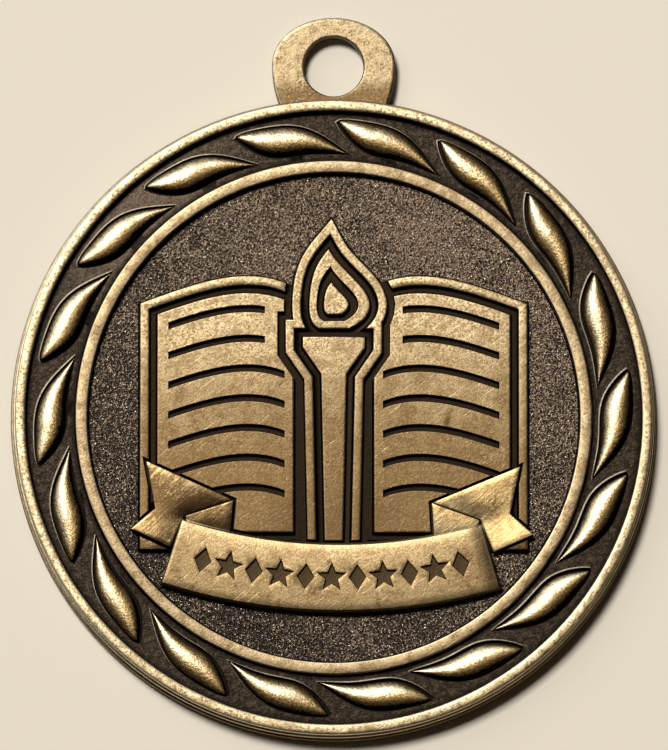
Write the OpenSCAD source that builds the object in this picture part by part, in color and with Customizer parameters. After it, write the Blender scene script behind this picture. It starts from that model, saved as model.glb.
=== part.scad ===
// Academic medallion: one die-cast piece with its ribbon loop.
// Lies on its back on z = 0, the loop towards +Y, origin at the centre of the back face.

/* [Disc] */
// outside radius of the lowest step of the edge
edge_r = 25.4; // [23:0.1:40]
// how far each step of the edge lies inside the one below it
step_in = 0.18; // [0.15:0.01:0.5]
// height of the lowest step of the edge
edge_h = 1.1; // [0.6:0.05:1.4]
// height of the middle step of the edge
step_h = 1.05; // [0.6:0.05:1.1]
// thickness over the rim, the highest point of the medal
rim_h = 3.2; // [3:0.05:5]
// width of the rim
rim_w = 0.8; // [0.5:0.01:1.5]
// flat cut along the edges of rim, ring, steps and banner
edge_cut = 0.12; // [0.05:0.01:0.15]

/* [Field and ring] */
// depth of the field below the rim
field_d = 1.3; // [1:0.05:2]
// width of the leaf band between rim and ring
band_w = 3.93; // [3:0.01:5]
// depth of the floor of the leaf band below the rim
band_d = 1; // [0.7:0.05:1.6]
// width of the inner ring
ring_w = 0.98; // [0.4:0.01:1.5]
// depth of the inner ring below the rim
ring_d = 0.35; // [0:0.05:0.6]

/* [Leaves] */
// number of laurel leaves round the band
leaf_n = 18; // [10:1:24]
// clock angle of the outer tip of the first leaf
leaf_start = 1.05; // [0:0.05:10]
// length of a leaf as a share of the spacing of the leaves
leaf_lap = 1.1; // [0.7:0.05:1.15]
// distance of the outer tip of a leaf from the rim
leaf_out = 0.81; // [0.7:0.01:1.2]
// distance of the inner tip of a leaf from the ring
leaf_in = 0.59; // [0.5:0.01:1]
// room left on each side of a leaf at its widest
leaf_room = 0.84; // [0.75:0.01:1.3]
// sideways swing of a leaf between its tips
leaf_swing = 0.49; // [0.2:0.01:0.6]
// depth of the pocket round a leaf below the band floor
pocket_d = 0.45; // [0.2:0.05:0.8]
// width of the pocket round a leaf
pocket_w = 0.14; // [0.1:0.01:0.3]
// height of the middle of a leaf above its pocket floor
leaf_h = 1.05; // [0.6:0.05:1.3]
// height of the upright edge of a leaf above its pocket floor
leaf_edge = 0.5; // [0.1:0.05:0.6]

/* [Emblem] */
// height of the emblem above the field
emblem_rise = 0.9; // [0.6:0.05:1.1]
// height of the groove floors in the emblem above the field
groove_rise = 0.15; // [0.1:0.05:0.4]
// width of the raised outline
key_w = 0.8; // [0.4:0.05:1]
// width of the groove inside the outline
groove_w = 0.55; // [0.3:0.05:0.8]

/* [Book] */
// distance of the inner edge of a page from the middle
page_in = 1.75; // [1.5:0.05:2.2]
// distance of the outer edge of a page from the ring
page_gap = 4.06; // [4:0.02:8]
// face height of the outer top corner of a page
page_top = 9; // [7:0.1:10]
// how far a page swells above that corner
page_swell = 2.2; // [0.5:0.1:3]
// number of ruled lines on a page
line_n = 7; // [2:1:7]
// distance between ruled lines
line_pitch = 2.35; // [1.2:0.05:2.5]
// width of a ruled line
line_w = 0.5; // [0.3:0.05:0.8]
// plain margin of a page beside its ruled lines
page_margin = 0.95; // [0.6:0.05:2]
// plain margin of a page above its first ruled line
head_margin = 1.3; // [0.6:0.05:3]

/* [Torch] */
// half width of the handle at its foot
handle_half = 0.75; // [0.5:0.05:0.9]
// half width of the handle under the cup
neck_half = 1.05; // [0.8:0.05:1.2]
// height of the cup on the face
cup_h = 3; // [2:0.1:4]
// height of the straight brim of the cup
brim_h = 0.9; // [0.5:0.1:1.5]
// half width of the cup at its brim
cup_half = 2.5; // [2:0.1:3]
// distance of the tip of the flame from the ring
flame_gap = 5.94; // [4.5:0.02:8]
// height of the flame on the face
flame_h = 6.45; // [5:0.05:8]
// greatest half width of the flame
flame_half = 2.6; // [2.2:0.1:3]
// sideways lean of the flame
flame_lean = 0.45; // [0:0.05:0.6]

/* [Banner] */
// radius of the upper edge of the panel
bow_r = 39.8; // [30:0.1:60]
// width of the panel
panel_w = 5.5; // [4:0.1:6]
// distance of the middle of the panel's lower edge from the ring
panel_gap = 3.9; // [2:0.02:6]
// distance of the panel's upper corner from the outer edge of the page behind it
panel_in = 3.5; // [1.5:0.1:5]
// height of the face of the panel above the field
panel_rise = 1.25; // [1.2:0.05:1.5]
// turn of the whole banner on the face
banner_turn = -0.8; // [-2:0.1:2]
// how far a tail reaches out from the panel's corner
tail_reach = 4.05; // [2.5:0.05:5]
// height of a tail's upper tip above the panel's corner
tail_up = 4.45; // [3:0.05:6]
// height of the tips of the tails above the field
tail_rise = 1.2; // [1.1:0.05:1.3]
// how far the tails dip towards their folds, and the folds towards the panel
tail_dip = 0.19; // [0.02:0.01:0.22]
// depth of the signs cut in the panel
sign_d = 0.35; // [0.1:0.05:0.6]
// radius of the stars cut in the panel
star_r = 1.15; // [0.6:0.05:1.3]
// number of signs on each side of the middle one
sign_n = 5; // [2:1:5]
// distance between signs
sign_pitch = 2.04; // [1.8:0.02:2.2]

/* [Loop] */
// radius of the loop hole
hole_r = 2.36; // [1.8:0.02:3.5]
// metal between the hole and the rim
hole_web = 0.51; // [0.1:0.01:2]
// metal at the sides of the hole
loop_side = 2.5; // [1.5:0.01:4]
// metal above the hole
loop_top = 1.52; // [1:0.01:3]
// depth of the loop's face below the rim
loop_d = 1.4; // [0:0.05:1.8]
// distance from its widest place to where its sides would close
loop_taper = 6.6; // [5.5:0.1:9]
// distance of its widest place from the middle of the hole
loop_wide = 0.15; // [0:0.05:0.5]

/* [Hidden] */
brass = [0.66, 0.53, 0.31];
sink = 0.3; // how deep raised work is rooted in the metal under it
above = 1; // how far a cutter stands out of the metal
rim_r = edge_r - 2 * step_in;
step_top = edge_h + step_h;
rim_in = rim_r - rim_w;
ring_r = rim_in - band_w;
ring_in = ring_r - ring_w;
field_h = rim_h - field_d;
band_h = rim_h - band_d;
ring_h = rim_h - ring_d;
root = field_h - sink;
pocket_h = band_h - pocket_d;
leaf_half = band_w / 2 - leaf_room;
leaf_sweep = leaf_lap * 360 / leaf_n;
leaf_steps = 13;
leaf_across = 8;
leaf_blunt = 0.75;
leaf_point = 1.3;
leaf_full = 2.2;
leaf_crown = 0.75;
leaf_back = 0.7;
leaf_tip = 0.005;
leaf_widest = leaf_blunt / (leaf_blunt + leaf_point);
pocket_reach = 0.025;
pocket_shift = 0.04;
emblem_h = field_h + emblem_rise;
groove_h = field_h + groove_rise;
trim = 2 * groove_w + key_w;
page_out = ring_in - page_gap;
page_steps = 14;
page_lift = 0.7;
cup_room = 1; // how far under the cup the ruled lines still keep clear of it
flame_top = ring_in - flame_gap;
flame_base = flame_top - flame_h;
flame_steps = 12;
flame_foot = 0.16;
flame_belly = 0.8;
flame_thin = 0.2;
flame_wave = 300;
tongue_out = 0.66;
tongue_in = 0.42;
tongue_up = 0.3;
brim_y = flame_base - groove_w;
cup_y = brim_y - cup_h;
tuck = 0.7; // how far the emblem runs on behind the panel
panel_y = ring_in - panel_gap - panel_w;
bow_y = bow_r - panel_y;
panel_a = asin((page_out - panel_in) / bow_r);
panel_h = field_h + panel_rise;
panel_mid = bow_r + panel_w / 2;
foot_y = -panel_y - tuck;
corner = [bow_r * sin(panel_a), bow_y - bow_r * cos(panel_a)];
loop_root = 0.4; // where in the width of the rim the loop ends
hole_y = rim_r + hole_web + hole_r;
loop_t = rim_h - loop_d;
loop_half = hole_r + loop_side;
wide_y = hole_y + loop_wide;
crown = hole_r + loop_top - loop_wide;
star_waist = 0.42;
lozenge_up = 0.85;
lozenge_across = 0.57;
loop_base = rim_in + loop_root * rim_w;
loop_steps = 48;

// corners of a tail and of its fold: share of tail_reach, share of tail_up, share of tail_dip
tail_rows = [
    [0.54, 0.16, 0.5], [1, -0.21, 0], [0.22, -0.53, 1], [-0.12, -0.3, 1.25],
    [-0.05, 0.04, 1.25], [-0.99, 0.33, 0.6], [0.72, 1, 0]
];
fold_rows = [[-0.05, 0.04, 0.3], [-0.12, -0.3, 1.3], [-0.94, -0.3, 1.3], [-0.99, 0.33, 0]];

// outward normal of the edge from p to q of an outline that runs anticlockwise
function outward(p, q) = [q[1] - p[1], p[0] - q[0]] / norm(q - p);

// outline moved outwards by d, inwards where d is negative
function grown(pts, d) = let (n = len(pts)) [
    for (i = [0:n - 1])
        let (m = outward(pts[(i + n - 1) % n], pts[i]) + outward(pts[i], pts[(i + 1) % n]))
        pts[i] + 2 * d * m / (m * m)
];

function mirrored(pts) = [for (i = [len(pts) - 1:-1:0]) [-pts[i][0], pts[i][1]]];

// point at a clock angle and a radius
function clock(a, r) = [r * sin(a), r * cos(a)];

module slab(pts, low, high) {
    translate([0, 0, low]) linear_extrude(high - low) polygon(pts);
}

// solid through rings of points that all hold the same number, ends closed
module skin(rings) {
    m = len(rings[0]);
    last = (len(rings) - 1) * m;
    walls = [
        for (i = [0:len(rings) - 2], j = [0:m - 1])
            let (a = i * m + j, b = i * m + (j + 1) % m)
            each [[a, a + m, b], [b, a + m, b + m]]
    ];
    caps = [[for (j = [0:m - 1]) j], [for (j = [m - 1:-1:0]) last + j]];
    polyhedron([for (ring = rings) each ring], concat(walls, caps));
}

// plate whose top corners have heights of their own, fanned from its first corner
module fanned(pts, tops, low) {
    n = len(pts);
    fan = [for (i = [1:n - 2]) each [[0, i, i + 1], [n, n + i + 1, n + i]]];
    side = [for (i = [0:n - 1]) let (k = (i + 1) % n) each [[i, n + i, k], [k, n + i, n + k]]];
    polyhedron(concat([for (p = pts) [p[0], p[1], low]],
        [for (i = [0:n - 1]) [pts[i][0], pts[i][1], tops[i]]]), concat(fan, side));
}

// stepped edge, rim, band floor, ring and field in one turned blank
module blank() {
    rotate_extrude($fn = 180) polygon([
        [0, 0], [edge_r - edge_cut, 0], [edge_r, edge_cut], [edge_r, edge_h - edge_cut],
        [edge_r - edge_cut, edge_h], [edge_r - step_in, edge_h],
        [edge_r - step_in, step_top - edge_cut], [edge_r - step_in - edge_cut, step_top],
        [rim_r, step_top], [rim_r, rim_h - edge_cut], [rim_r - edge_cut, rim_h],
        [rim_in + edge_cut, rim_h], [rim_in, rim_h - edge_cut], [rim_in, band_h],
        [ring_r, band_h], [ring_r, ring_h - edge_cut], [ring_r - edge_cut, ring_h],
        [ring_in + edge_cut, ring_h], [ring_in, ring_h - edge_cut], [ring_in, field_h],
        [0, field_h]
    ]);
}

// radius of the middle of a leaf, t running from its outer to its inner tip
function leaf_line(t) = let (outer = rim_in - leaf_out, inner = ring_r + leaf_in)
    outer + (inner - outer) * t - leaf_swing * sin(360 * t) * (1 - t);

function leaf_width(t) = leaf_half * pow(t / leaf_widest, leaf_blunt)
    * pow((1 - t) / (1 - leaf_widest), leaf_point);

// domed leaf: u runs across it from -1 to 1, t along it from 0 to 1
module leaf() {
    low = pocket_h - sink;
    skin([for (i = [0:leaf_steps])
        let (t = leaf_tip + (1 - 2 * leaf_tip) * i / leaf_steps, w = leaf_width(t),
            h = leaf_edge + (leaf_h - leaf_edge) * pow(w / leaf_half, leaf_back))
        concat(
            [for (u = [-1, 1]) let (p = clock(leaf_sweep * t, leaf_line(t) + u * w)) [p[0], p[1], low]],
            [for (j = [leaf_across:-1:0])
                let (u = 2 * j / leaf_across - 1,
                    p = clock(leaf_sweep * t, leaf_line(t) + u * w),
                    z = leaf_edge + (h - leaf_edge) * pow(1 - pow(abs(u), leaf_full), leaf_crown))
                [p[0], p[1], pocket_h + z]]
        )
    ]);
}

module pocket() {
    function edge(t, u) = clock(leaf_sweep * (t * (1 + 2 * pocket_reach) - pocket_reach),
        leaf_line(t) - pocket_shift + u * (leaf_width(t) + pocket_w * sqrt(sin(180 * t))));
    slab(concat([for (i = [0:leaf_steps]) edge(i / leaf_steps, 1)],
        [for (i = [leaf_steps - 1:-1:1]) edge(i / leaf_steps, -1)]), pocket_h, band_h + above);
}

// copies its child once for each leaf of the wreath
module wreath() {
    for (i = [0:leaf_n - 1]) rotate(-leaf_start - 360 * i / leaf_n) children();
}

// s runs along the top of a page from its inner to its outer corner
function page_edge(s) = page_top + page_swell * sin(180 * pow(s, page_lift));

function page_x(s) = page_in + (page_out - page_in) * s;

// outline of the right page with its edges moved inwards by d
function page_outline(d = 0) = concat([[page_in + d, foot_y + d], [page_out - d, foot_y + d]],
    [for (i = [page_steps:-1:0])
        let (x = page_in + d + (page_out - page_in - 2 * d) * i / page_steps)
        [x, page_edge((x - page_in) / (page_out - page_in)) - d]]);

// ruled line number k, from clear of the torch to the margin
function ruled(k) = let (
    drop = key_w + groove_w + head_margin + k * line_pitch,
    near = (page_top - drop > cup_y - cup_room ? max(cup_half, flame_half) : neck_half) + trim + page_margin,
    from = (near - page_in) / (page_out - page_in),
    to = (page_out - key_w - groove_w - page_margin - page_in) / (page_out - page_in),
    along = [for (i = [0:page_steps]) from + (to - from) * i / page_steps]
) concat([for (s = along) [page_x(s), page_edge(s) - drop - line_w / 2]],
    [for (i = [page_steps:-1:0]) [page_x(along[i]), page_edge(along[i]) - drop + line_w / 2]]);

function handle_outline() = [
    [-handle_half, foot_y], [handle_half, foot_y], [neck_half, cup_y],
    [cup_half, brim_y - brim_h], [cup_half, brim_y], [-cup_half, brim_y],
    [-cup_half, brim_y - brim_h], [-neck_half, cup_y]
];

// flame from the brim of the cup to its tip, s running upwards, f its share of full size
function flame_side(s, u, f) = [
    f * (u * flame_half * sin(180 * (flame_foot + (1 - flame_foot) * pow(s, flame_belly)))
        * (1 - flame_thin * s) + flame_lean * sin(flame_wave * s)),
    flame_base + flame_h * (f * s + tongue_up * (1 - f))
];

function flame_outline(f = 1) = concat([for (i = [0:flame_steps]) flame_side(i / flame_steps, 1, f)],
    [for (i = [flame_steps - 1:-1:0]) flame_side(i / flame_steps, -1, f)]);

module torch_part(d, low, high) {
    slab(grown(handle_outline(), d), low, high);
    slab(grown(flame_outline(), d), low, high);
}

module page(side) {
    function edge(d) = side > 0 ? page_outline(d) : mirrored(page_outline(d));
    slab(edge(0), root, groove_h);
    difference() {
        union() {
            difference() {
                slab(edge(0), root, emblem_h);
                slab(edge(key_w), groove_h, emblem_h + above);
            }
            slab(edge(key_w + groove_w), root, emblem_h);
        }
        torch_part(trim, groove_h, emblem_h + above);
    }
}

module book() {
    difference() {
        union() {
            page(-1);
            page(1);
        }
        for (k = [0:line_n - 1]) {
            slab(ruled(k), groove_h, emblem_h + above);
            slab(mirrored(ruled(k)), groove_h, emblem_h + above);
        }
    }
}

module torch() {
    torch_part(groove_w + key_w, root, groove_h);
    difference() {
        torch_part(groove_w + key_w, root, emblem_h);
        torch_part(groove_w, groove_h, emblem_h + above);
    }
    slab(handle_outline(), root, emblem_h);
    difference() {
        slab(flame_outline(), root, emblem_h);
        difference() {
            slab(flame_outline(tongue_out), groove_h, emblem_h + above);
            slab(flame_outline(tongue_in), root, emblem_h + above);
        }
    }
}

// one tail and the fold that leads from it behind the panel
module tail(side) {
    module leaning(rows) {
        order = side > 0 ? [0, for (i = [len(rows) - 1:-1:1]) i] : [for (i = [0:len(rows) - 1]) i];
        fanned(
            [for (i = order) [
                side * (corner[0] + rows[i][0] * tail_reach),
                corner[1] + rows[i][1] * tail_up
            ]],
            [for (i = order) field_h + tail_rise - rows[i][2] * tail_dip],
            root
        );
    }
    leaning(tail_rows);
    leaning(fold_rows);
}

module star(r) {
    polygon([for (i = [0:9]) clock(36 * i, i % 2 == 0 ? r : star_waist * r)]);
}

module lozenge(r) {
    polygon([for (i = [0:3]) clock(90 * i, i % 2 == 0 ? lozenge_up * r : lozenge_across * r)]);
}

module panel() {
    translate([0, bow_y, 0]) difference() {
        rotate(270 - panel_a) rotate_extrude(angle = 2 * panel_a, $fn = 360) polygon([
            [bow_r, root], [bow_r + panel_w, root], [bow_r + panel_w, panel_h - 2 * edge_cut],
            [bow_r + panel_w - 2 * edge_cut, panel_h - 0.4 * edge_cut], [panel_mid, panel_h],
            [bow_r + 2 * edge_cut, panel_h - 0.4 * edge_cut], [bow_r, panel_h - 2 * edge_cut]
        ]);
        for (i = [-sign_n:sign_n])
            rotate(i * sign_pitch / panel_mid * 180 / PI)
                translate([0, -panel_mid, panel_h - sign_d])
                    linear_extrude(above)
                        if (i % 2 == 0) star(star_r);
                        else lozenge(star_r);
    }
}

module banner() {
    rotate(banner_turn) {
        tail(-1);
        tail(1);
        panel();
    }
}

function loop_outline() = let (
    lean = asin((wide_y - loop_base) / loop_taper),
    turn = (180 + 2 * lean) / loop_steps
) [for (i = [0:loop_steps]) let (a = i * turn - lean)
    [loop_half * cos(a), wide_y + (a > 0 && a < 180 ? crown : loop_taper) * sin(a)]];

module medallion() {
    color(brass) difference() {
        union() {
            difference() {
                blank();
                wreath() pocket();
            }
            slab(loop_outline(), 0, loop_t);
            wreath() leaf();
            book();
            torch();
            banner();
        }
        translate([0, hole_y, -above]) cylinder(h = rim_h + 2 * above, r = hole_r, $fn = 96);
    }
}

medallion();
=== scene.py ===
import math
from types import SimpleNamespace

import bmesh
import bpy
from mathutils import Matrix, Vector


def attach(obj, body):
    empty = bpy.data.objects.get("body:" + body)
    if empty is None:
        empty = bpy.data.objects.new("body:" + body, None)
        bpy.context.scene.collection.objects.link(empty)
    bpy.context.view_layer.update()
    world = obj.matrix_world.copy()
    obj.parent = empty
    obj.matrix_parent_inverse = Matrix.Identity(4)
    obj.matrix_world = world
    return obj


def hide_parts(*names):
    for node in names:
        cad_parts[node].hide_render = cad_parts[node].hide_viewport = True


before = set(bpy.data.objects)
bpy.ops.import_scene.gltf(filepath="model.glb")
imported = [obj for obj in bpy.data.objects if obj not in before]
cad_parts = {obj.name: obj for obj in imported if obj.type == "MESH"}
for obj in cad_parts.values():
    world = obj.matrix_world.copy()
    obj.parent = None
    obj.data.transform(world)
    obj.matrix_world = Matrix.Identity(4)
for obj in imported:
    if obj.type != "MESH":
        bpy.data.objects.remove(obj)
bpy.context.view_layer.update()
print("frame loaded")

# The medal is drawn in millimetres and brought to metres when it is finished.
millimetre = 0.001


def sinDeg(angle):
    return math.sin(math.radians(angle))


def cosDeg(angle):
    return math.cos(math.radians(angle))


def clockPoint(angle, radius):
    return (radius * sinDeg(angle), radius * cosDeg(angle))


def moveOutline(points, distance):
    # outline moved outwards, mitred at its corners; points run anticlockwise
    moved = []
    for i, here in enumerate(points):
        before, after = Vector(points[i - 1]), Vector(points[(i + 1) % len(points)])
        here = Vector(here)
        first = (here - before).normalized()
        second = (after - here).normalized()
        mitre = Vector((first.y + second.y, -first.x - second.x))
        moved.append(tuple(here + mitre * (2 * distance / mitre.length_squared)))
    return moved


def flipOutline(points):
    return [(-x, y) for x, y in reversed(points)]


def turnOutline(points, angle, centre=(0, 0)):
    c, s = cosDeg(angle), sinDeg(angle)
    return [(centre[0] + (x - centre[0]) * c - (y - centre[1]) * s,
             centre[1] + (x - centre[0]) * s + (y - centre[1]) * c) for x, y in points]


def stackLoops(bm, loops):
    # closed solid from loops of the same number of points, each drawn out of the one before
    first = bmesh.ops.create_circle(bm, segments=len(loops[0]), radius=1)["verts"]
    for vert, place in zip(first, loops[0]):
        vert.co = place
    current = list(first)
    edges = list(dict.fromkeys(e for v in current for e in v.link_edges))
    bmesh.ops.edgeloop_fill(bm, edges=edges)
    for loop in loops[1:]:
        drawn = bmesh.ops.extrude_edge_only(bm, edges=edges)["geom"]
        fresh = {g for g in drawn if isinstance(g, bmesh.types.BMVert)}
        current = [next(e.other_vert(v) for e in v.link_edges if e.other_vert(v) in fresh) for v in current]
        edges = [g for g in drawn if isinstance(g, bmesh.types.BMEdge)
                 and g.verts[0] in fresh and g.verts[1] in fresh]
        for vert, place in zip(current, loop):
            vert.co = place
    bmesh.ops.edgeloop_fill(bm, edges=edges)


def makeSolid(name, shapes):
    # one mesh object from a list of stacks of loops
    bm = bmesh.new()
    for loops in shapes:
        stackLoops(bm, loops)
    bmesh.ops.recalc_face_normals(bm, faces=bm.faces)
    return finishMesh(bm, name)


def finishMesh(bm, name):
    mesh = bpy.data.meshes.new(name)
    bm.to_mesh(mesh)
    bm.free()
    solid = bpy.data.objects.new(name, mesh)
    bpy.context.scene.collection.objects.link(solid)
    return solid


def shapeUp(outline, rows):
    # loops of an outline: each row is how far it is moved outwards, and its height
    return [[(x, y, height) for x, y in moveOutline(outline, away)] for away, height in rows]


def combine(solid, tool, how):
    change = solid.modifiers.new(how, "BOOLEAN")
    change.operation = how
    change.solver = "MANIFOLD"
    change.object = tool
    reading = bpy.context.evaluated_depsgraph_get()
    mesh = bpy.data.meshes.new_from_object(solid.evaluated_get(reading))
    solid.modifiers.clear()
    solid.data = mesh
    bpy.data.objects.remove(tool)
    if not mesh.polygons:
        raise RuntimeError("nothing is left of " + solid.name)


softShares = ((0, 1), (0.12, 0.5), (0.45, 0.13), (1, 0))  # of a soft edge: how far in, how far down


def softEdge(away, top, soft, side=1):
    # rows from the wall up to the top of a softened edge; side -1 leans the other way
    return [(away - side * soft * into, top - soft * down) for into, down in softShares]


def raisedRows(root, low, top, soft, foot=0.1, lean=0.03):
    # flared foot, leaning wall and softened top edge of raised work
    return [(foot + lean, root), (foot + lean, low), (foot * 0.35 + lean, low + foot * 0.8),
            (lean, low + foot * 2.2)] + softEdge(0, top, soft)


def cutterRows(floor, top, soft, over=0.6, lean=0.01):
    # cutter with a filleted floor and a softened mouth
    mouth = lean + soft * 1.05
    return [(-soft * 0.9, floor), (-soft * 0.25, floor + soft * 0.3), (0, floor + soft)] + softEdge(
        lean, top, soft, -1)[:-1] + [(mouth, top + soft * 0.02), (mouth, top + over)]


def cornerArc(r, z, fromAngle, radius, steps=4):
    # points of a rounded corner of the turned profile, over a quarter turn
    return [(r + radius * cosDeg(fromAngle + 90 * i / steps), z + radius * sinDeg(fromAngle + 90 * i / steps))
            for i in range(steps + 1)]


disc = {
    "edgeRadius": 25.4, "stepIn": 0.18, "edgeTop": 1.1, "stepTop": 2.15, "rimTop": 3.2, "rimWidth": 0.8,
    "bandWidth": 3.93, "bandFloor": 2.2, "ringWidth": 0.98, "ringTop": 2.85, "field": 1.9,
    "soft": 0.12, "rimRound": 0.1, "rimSteps": 12, "ringSoft": 0.14, "turns": 300,
    "stepLean": 0.02, "stepLow": 0.01, "stepTall": 0.07, "footLean": 0.03, "footWide": 0.12, "footTall": 0.14,
    "backRings": (0, 8, 16, 22), "bandLoop": 22.2, "fieldLoop": 12,  # loops that divide the flat faces
    "joined": 0.0005,  # how near two points are made one
}
rimRadius = disc["edgeRadius"] - 2 * disc["stepIn"]
rimInside = rimRadius - disc["rimWidth"]
ringRadius = rimInside - disc["bandWidth"]
ringInside = ringRadius - disc["ringWidth"]


def stepFoot(wall, floor):
    # small fillet where a step of the edge stands on the one below
    return [(wall + disc["stepLean"], floor + disc["stepLow"]), (wall, floor + disc["stepTall"])]


def wallFoot(wall, floor, side=-1):
    # fillet from a wall down to the floor on its inner side, or on its outer side
    d = disc
    return [(wall + side * d["footLean"], floor + d["footTall"]), (wall + side * d["footWide"], floor)]


def makeBlank():
    # turned blank: back, stepped edge, rim, leaf band, ring and field
    d, s = disc, disc["soft"]
    step = d["edgeRadius"] - d["stepIn"]
    profile = [(r, 0) for r in d["backRings"]]
    profile += cornerArc(d["edgeRadius"] - s, s, -90, s)
    profile += cornerArc(d["edgeRadius"] - s, d["edgeTop"] - s, 0, s) + stepFoot(step, d["edgeTop"])
    profile += cornerArc(step - s, d["stepTop"] - s, 0, s) + stepFoot(rimRadius, d["stepTop"])
    for i in range(d["rimSteps"] + 1):
        u = cosDeg(180 * i / d["rimSteps"])
        profile.append((rimInside + d["rimWidth"] * (1 + u) / 2,
                        d["rimTop"] - d["rimRound"] * (1 - math.sqrt(max(1 - abs(u) ** 3, 0)))))
    profile += wallFoot(rimInside, d["bandFloor"]) + [(d["bandLoop"], d["bandFloor"])]
    profile += wallFoot(ringRadius, d["bandFloor"], 1)[::-1]
    s = d["ringSoft"]
    profile += cornerArc(ringRadius - s, d["ringTop"] - s, 0, s)
    profile += cornerArc(ringInside + s, d["ringTop"] - s, 90, s)
    profile += wallFoot(ringInside, d["field"]) + [(d["fieldLoop"], d["field"]), (0, d["field"])]
    bm = bmesh.new()
    verts = [bm.verts.new((x, 0, z)) for x, z in profile]
    edges = [bm.edges.new(pair) for pair in zip(verts, verts[1:])]
    bmesh.ops.spin(bm, geom=verts + edges, cent=(0, 0, 0), axis=(0, 0, 1), angle=math.tau,
                   steps=d["turns"], use_merge=True)
    bmesh.ops.remove_doubles(bm, verts=bm.verts, dist=d["joined"])
    bmesh.ops.recalc_face_normals(bm, faces=bm.faces)
    return finishMesh(bm, "medal")


wreath = {
    "count": 18, "start": 1.05, "lap": 1.1, "fromRim": 0.81, "fromRing": 0.59, "room": 0.84, "swing": 0.49,
    "pocketDepth": 0.45, "pocketWidth": 0.14, "pocketSoft": 0.05, "pocketReach": 0.025, "pocketIn": 0.04,
    "pocketSteps": 34, "height": 1.05, "uprightEdge": 0.5, "root": 0.3, "tipShare": 0.497,
    "blunt": 0.75, "point": 1.3, "fullness": 2.2, "ridge": 0.7, "crown": 0.75, "along": 30, "across": 16,
    # lip round a pocket: rows of how far out and how high, and how far the whole lip is shifted
    "lip": ((0.13, -0.1), (0.13, 0), (0.09, 0.022), (0.05, 0.035), (0, 0.035)), "lipShift": (-0.055, 0.055),
}
leafSweep = wreath["lap"] * 360 / wreath["count"]
leafHalf = disc["bandWidth"] / 2 - wreath["room"]
pocketFloor = disc["bandFloor"] - wreath["pocketDepth"]
lipTop = disc["bandFloor"] + wreath["lip"][-1][1]


def leafRadius(t):
    outer, inner = rimInside - wreath["fromRim"], ringRadius + wreath["fromRing"]
    return outer + (inner - outer) * t - wreath["swing"] * sinDeg(360 * t) * (1 - t)


def leafWidth(t):
    w = wreath
    widest = w["blunt"] / (w["blunt"] + w["point"])
    t = min(max(t, 0), 1)
    return leafHalf * (t / widest) ** w["blunt"] * ((1 - t) / (1 - widest)) ** w["point"]


def leafLoops(turn):
    # slices of a leaf from tip to tip, each a plump dome
    w, edge = wreath, wreath["uprightEdge"]
    loops = []
    for i in range(w["along"] + 1):
        t = 0.5 - w["tipShare"] * cosDeg(180 * i / w["along"])
        width = leafWidth(t)
        top = edge + (w["height"] - edge) * (width / leafHalf) ** w["ridge"]
        angle = turn + leafSweep * t
        loop = [(*clockPoint(angle, leafRadius(t) + u * width), pocketFloor - w["root"]) for u in (-1, 1)]
        for j in range(w["across"], -1, -1):
            u = -cosDeg(180 * j / w["across"])
            crown = (1 - abs(u) ** w["fullness"]) ** w["crown"]
            height = pocketFloor + edge + (top - edge) * crown
            loop.append((*clockPoint(angle, leafRadius(t) + u * width), height))
        loops.append(loop)
    return loops


def pocketLoops(turn, rows):
    # outline of the pocket round a leaf, stacked by rows
    w, steps = wreath, wreath["pocketSteps"]
    loops = []
    for away, height in rows:
        reach = w["pocketReach"] + away / 10
        loop = []
        for i in list(range(steps + 1)) + list(range(-steps + 1, 0)):
            t = abs(i) / steps
            u = 1 if i >= 0 else -1
            width = leafWidth(t) + (w["pocketWidth"] + away) * math.sqrt(max(sinDeg(180 * t), 0))
            angle = turn + leafSweep * (t * (1 + 2 * reach) - reach)
            loop.append((*clockPoint(angle, leafRadius(t) - w["pocketIn"] + u * width), height))
        loops.append(loop)
    return loops


def addWreath(medal):
    turns = [wreath["start"] + 360 * i / wreath["count"] for i in range(wreath["count"])]
    rows = [(away, disc["bandFloor"] + rise) for away, rise in wreath["lip"]]
    lips = [pocketLoops(turn, rows) for turn in turns]
    right, up = wreath["lipShift"]
    lips = [[[(x + right, y + up, z) for x, y, z in loop] for loop in loops] for loops in lips]
    combine(medal, makeSolid("lips", lips), "UNION")
    cutter = cutterRows(pocketFloor, lipTop, wreath["pocketSoft"])
    combine(medal, makeSolid("pockets", [pocketLoops(turn, cutter) for turn in turns]), "DIFFERENCE")
    combine(medal, makeSolid("leaves", [leafLoops(turn) for turn in turns]), "UNION")


emblem = {
    "rise": 0.9, "root": 0.3, "grooveRise": 0.15, "key": 0.8, "groove": 0.55, "soft": 0.2,
    "grooveLean": 0.02, "grooveFoot": 0.09, "grooveTall": 0.1,
    "cutSoft": 0.07, "tongueSoft": 0.08, "middleFoot": 0.06, "middleLean": 0.02,
    "pageInside": 1.75, "pageFromRing": 4.06, "pageTop": 9.0, "swell": 2.2, "lift": 0.7, "foot": 10.5,
    "pageSteps": 28, "lines": 7, "linePitch": 2.35, "lineWidth": 0.5, "lineRaise": 0.15, "lineSteps": 18,
    "sideMargin": 0.95, "headMargin": 1.3, "belowCup": 1,
    "handleHalf": 0.75, "neckHalf": 1.05, "cupHeight": 3.0, "brimHeight": 0.9, "cupHalf": 2.5,
    "flameFromRing": 5.94, "flameHeight": 6.45, "flameHalf": 2.6, "flameLean": 0.45, "flameSteps": 20,
    "flameStart": 0.16, "flameEase": 0.8, "flameNarrow": 0.2, "flameSway": 300,
    "tongueOutside": 0.66, "tongueInside": 0.42, "tongueLift": 0.3,
}
emblemTop = disc["field"] + emblem["rise"]
grooveFloor = disc["field"] + emblem["grooveRise"]
emblemRoot = disc["field"] - emblem["root"]
torchClear = 2 * emblem["groove"] + emblem["key"]
pageOutside = ringInside - emblem["pageFromRing"]
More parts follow.
